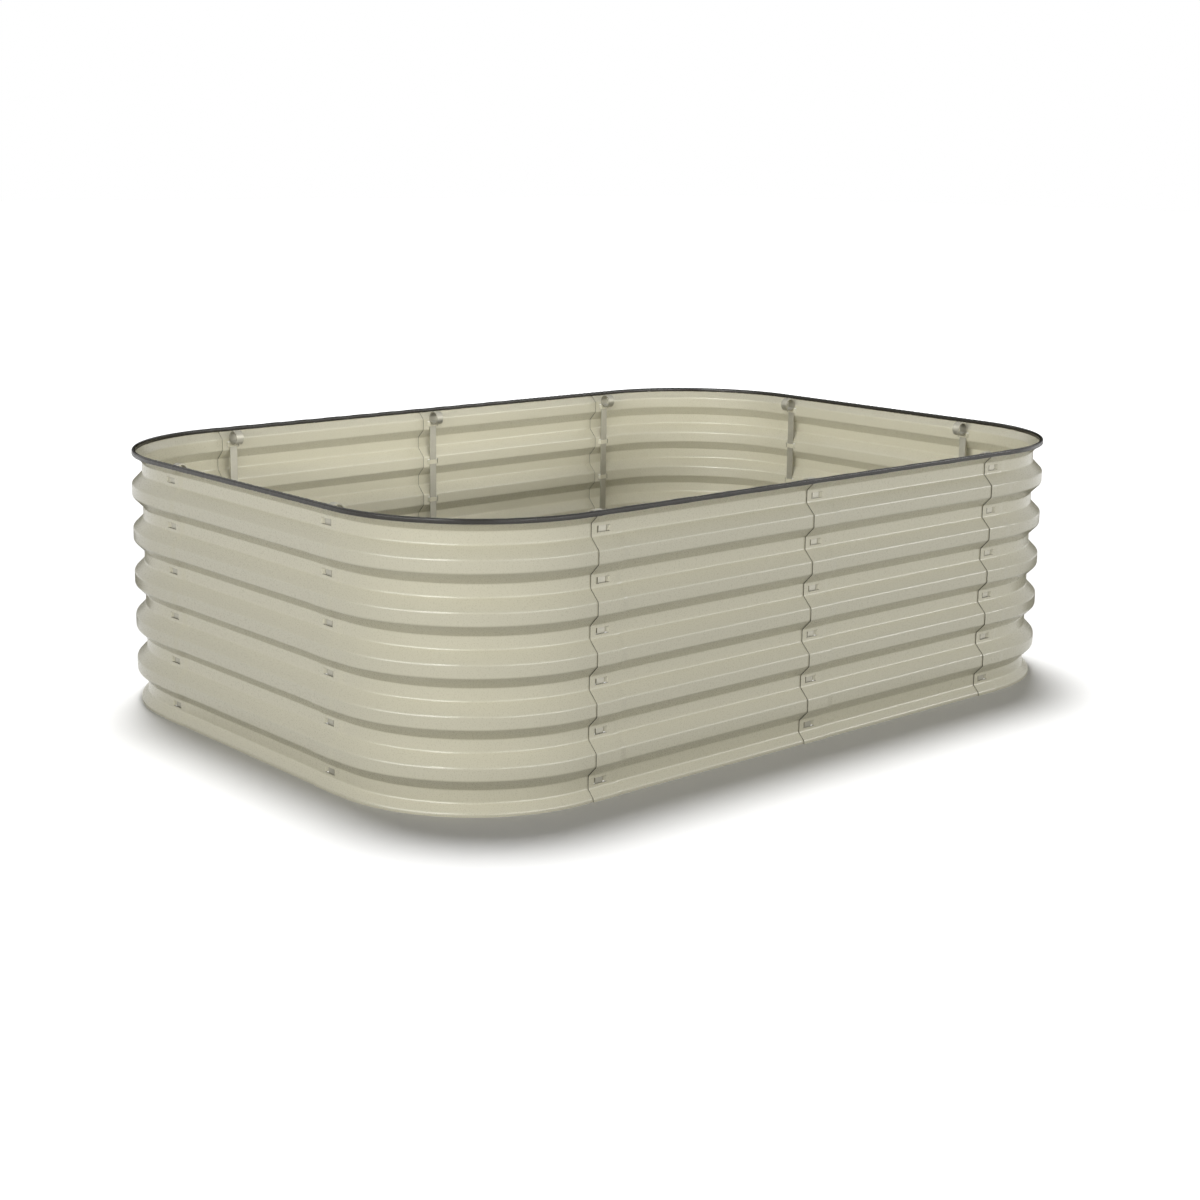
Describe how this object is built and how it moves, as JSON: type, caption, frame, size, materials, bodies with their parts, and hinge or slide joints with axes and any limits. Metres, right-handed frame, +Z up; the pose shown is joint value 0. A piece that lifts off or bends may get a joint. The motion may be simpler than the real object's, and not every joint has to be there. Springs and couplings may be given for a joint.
{
  "type": "raised garden bed",
  "caption": "Open-bottomed raised garden bed with a rounded-rectangle wall of lapped corrugated steel panels, pull-out locking strips in the seams and a rubber rim trim.",
  "frame": {"origin": "on the ground, in the middle of the bed's outline", "axes": "+X along the long side, to the right seen from the front; the front is towards -Y; +Z up"},
  "size_m": [1.5244, 1.0672, 0.4389],
  "materials": {
    "painted_steel": "pearl beige powder coat, satin to semi-gloss",
    "zinc_strip": "zinc-coated strip steel, dull grey with a warm cast",
    "rubber_trim": "black extruded rubber, matt"
  },
  "bodies": {
    "bed": {"panel_front_left": "painted_steel", "panel_front_right": "painted_steel", "panel_right": "painted_steel", "panel_back_right": "painted_steel", "panel_back_left": "painted_steel", "panel_left": "painted_steel", "corner_front_right": "painted_steel", "corner_back_right": "painted_steel", "corner_back_left": "painted_steel", "corner_front_left": "painted_steel", "rim_trim": "rubber_trim"},
    "strip_front_left": {"locking_strip_front_left": "zinc_strip"},
    "strip_front_middle": {"locking_strip_front_middle": "zinc_strip"},
    "strip_front_right": {"locking_strip_front_right": "zinc_strip"},
    "strip_right_front": {"locking_strip_right_front": "zinc_strip"},
    "strip_right_back": {"locking_strip_right_back": "zinc_strip"},
    "strip_back_right": {"locking_strip_back_right": "zinc_strip"},
    "strip_back_middle": {"locking_strip_back_middle": "zinc_strip"},
    "strip_back_left": {"locking_strip_back_left": "zinc_strip"},
    "strip_left_back": {"locking_strip_left_back": "zinc_strip"},
    "strip_left_front": {"locking_strip_left_front": "zinc_strip"}
  },
  "joints": [
    {"name": "pull_front_left", "type": "slide", "parent": "bed", "child": "strip_front_left", "axis": [0, 0, 1], "range_m": [0, 0.41]},
    {"name": "pull_front_middle", "type": "slide", "parent": "bed", "child": "strip_front_middle", "axis": [0, 0, 1], "range_m": [0, 0.41]},
    {"name": "pull_front_right", "type": "slide", "parent": "bed", "child": "strip_front_right", "axis": [0, 0, 1], "range_m": [0, 0.41]},
    {"name": "pull_right_front", "type": "slide", "parent": "bed", "child": "strip_right_front", "axis": [0, 0, 1], "range_m": [0, 0.41]},
    {"name": "pull_right_back", "type": "slide", "parent": "bed", "child": "strip_right_back", "axis": [0, 0, 1], "range_m": [0, 0.41]},
    {"name": "pull_back_right", "type": "slide", "parent": "bed", "child": "strip_back_right", "axis": [0, 0, 1], "range_m": [0, 0.41]},
    {"name": "pull_back_middle", "type": "slide", "parent": "bed", "child": "strip_back_middle", "axis": [0, 0, 1], "range_m": [0, 0.41]},
    {"name": "pull_back_left", "type": "slide", "parent": "bed", "child": "strip_back_left", "axis": [0, 0, 1], "range_m": [0, 0.41]},
    {"name": "pull_left_back", "type": "slide", "parent": "bed", "child": "strip_left_back", "axis": [0, 0, 1], "range_m": [0, 0.41]},
    {"name": "pull_left_front", "type": "slide", "parent": "bed", "child": "strip_left_front", "axis": [0, 0, 1], "range_m": [0, 0.41]}
  ]
}
